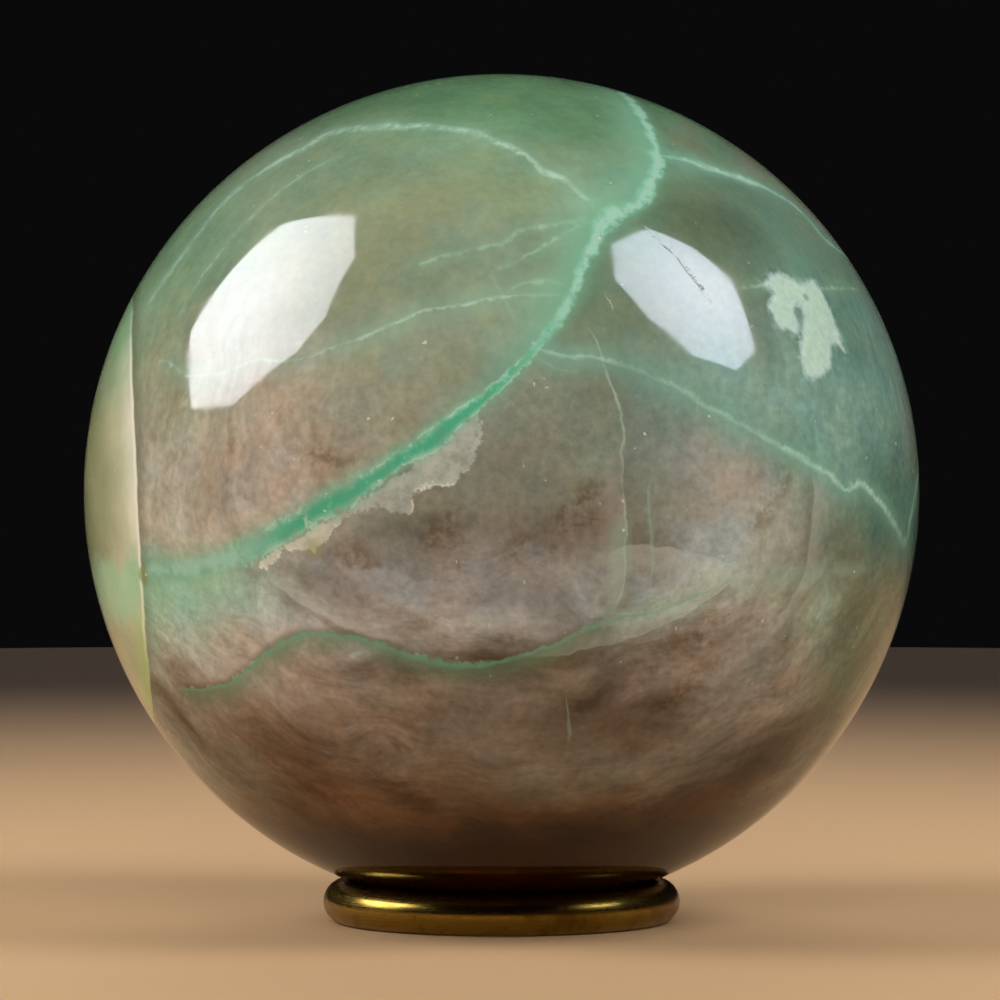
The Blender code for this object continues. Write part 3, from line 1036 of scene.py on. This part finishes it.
def paint_stone():
    """The whole skin of the stone: ground colours, fibres, veins, cleavages and wear."""
    material, tree, shader = new_material("garnierite")
    skin = look_over(tree)
    colour = attribute(tree, "ground")
    for layer in (
        lay_fibres, lay_streaks, lay_clouds, lay_threads, lay_limbs,
        lay_plate, lay_great_vein, lay_cap, lay_cream,
    ):
        colour = layer(skin, colour)

    # Surface: polish, smudges and the open crack
    crack = read_line(skin, "cracks", raggedness=0.6, softness=0.5, fading=0.5)
    jagged = abs(crack.offset + (skin.fine * 1.8 + skin.grain * 1.4))
    broken = fade(skin.frost + skin.grain * 0.5, -0.05, 0.04, 0.1, 1.0)
    open_crack = fade(jagged, crack.width * 1.3, 0.0, 0.0, crack.strength) * broken
    # Painted shade: the open crack is painted dark, besides its rougher polish and groove
    colour = lay(colour, "2c2a26", open_crack * 0.9)
    polish = fade(skin.swell, -0.1, 0.2, 0.045, 0.09) + skin.cream * 0.20 + open_crack * 0.4
    polish = polish + skin.fleck * 0.2 + fade(skin.cloud, 0.05, 0.2, 0.0, 0.05)
    distance, _, strength = split(attribute(tree, "cracks"))
    groove = fade(abs(distance), 0.16, 0.0) * strength * broken
    carved = {"Height": groove, "Distance": GROOVE_DEPTH, "Strength": 1.0}
    bump = wire(tree, "ShaderNodeBump", carved, invert=True)
    fill(tree, shader.inputs["Base Color"], colour)
    fill(tree, shader.inputs["Roughness"], polish)
    fill(tree, shader.inputs["Normal"], bump)
    shader.inputs["IOR"].default_value = 1.45
    shader.inputs["Subsurface Weight"].default_value = 0.30
    shader.inputs["Subsurface Radius"].default_value = (1.0, 1.0, 0.8)
    shader.inputs["Subsurface Scale"].default_value = 0.0015
    return material


# The brass ring, with the narrow flat that it stands on
RING_BAR_RADIUS = 0.00183
RING_FLAT_HALF_WIDTH = 0.00065
RING_STEPS = 240
BAR_STEPS = 40


def make_ring(name):
    """A round bar bent into a ring; its underside is worn flat."""
    bar_height = math.sqrt(RING_BAR_RADIUS**2 - RING_FLAT_HALF_WIDTH**2)
    middle_radius = RING_OUTER_RADIUS - RING_BAR_RADIUS
    shape = bmesh.new()
    layout = shape.loops.layers.uv.new("OFBake")
    hoops = []
    for step in range(RING_STEPS):
        turn = 2 * math.pi * step / RING_STEPS
        hoop = []
        for part in range(BAR_STEPS):
            angle = 2 * math.pi * part / BAR_STEPS
            reach = middle_radius + RING_BAR_RADIUS * math.cos(angle)
            height = max(bar_height + RING_BAR_RADIUS * math.sin(angle), 0.0)
            at = (reach * math.cos(turn), reach * math.sin(turn), RING_LOW.z + height)
            hoop.append(shape.verts.new(at))
        hoops.append(hoop)
    for step in range(RING_STEPS):
        here, there = hoops[step], hoops[(step + 1) % RING_STEPS]
        for part in range(BAR_STEPS):
            after = (part + 1) % BAR_STEPS
            face = shape.faces.new((here[part], there[part], there[after], here[after]))
            spots = ((step, part), (step + 1, part), (step + 1, part + 1), (step, part + 1))
            for corner, (along, around) in zip(face.loops, spots):
                corner[layout].uv = (along / RING_STEPS, around / BAR_STEPS)
    mesh = bpy.data.meshes.new(name)
    shape.to_mesh(mesh)
    shape.free()
    mesh.shade_smooth()
    return mesh


def paint_brass():
    material, tree, shader = new_material("brass")
    raw = wire(tree, "ShaderNodeTexCoord", output="Object")
    around = wire(tree, "ShaderNodeUVMap", uv_map="OFBake")
    rubbed = noise(stretched(around, (14.0, 90.0, 1.0)), 1.0, 6.0, 0.65)
    patina = noise(raw, 180.0, 7.0, 0.65)
    specks = noise(raw, 1100.0, 4.0, 0.6)
    dents = noise(raw, 420.0, 5.0, 0.55)
    colour = tint(fade(patina, 0.42, 0.68), linear("9a8038"), linear("745a1c"))
    colour = lay(colour, "3a2b0c", fade(specks, 0.60, 0.72, 0.0, 0.6))
    roughness = fade(patina, 0.35, 0.70, 0.20, 0.32) + fade(rubbed, 0.4, 0.7, 0.0, 0.08)
    height = dents * 0.6 + rubbed * 0.25
    bump = wire(tree, "ShaderNodeBump", {"Height": height, "Distance": 0.00006, "Strength": 0.30})
    fill(tree, shader.inputs["Base Color"], colour)
    fill(tree, shader.inputs["Roughness"], roughness)
    fill(tree, shader.inputs["Normal"], bump)
    shader.inputs["Metallic"].default_value = 1.0
    return material


make_camera()
make_studio()
stone_mesh = make_ball("garnierite_stone")
lay_ground(stone_mesh)
for name, channel in CHANNELS.items():
    trace(stone_mesh, name, channel["lines"], channel["reach"], channel.get("closed", False))
stone = link_piece("garnierite_stone", stone_mesh, paint_stone())
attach(stone, "root")
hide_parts("garnierite_sphere")
ring = link_piece("brass_stand_ring", make_ring("brass_stand_ring"), paint_brass())
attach(ring, "root")
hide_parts("brass_ring")
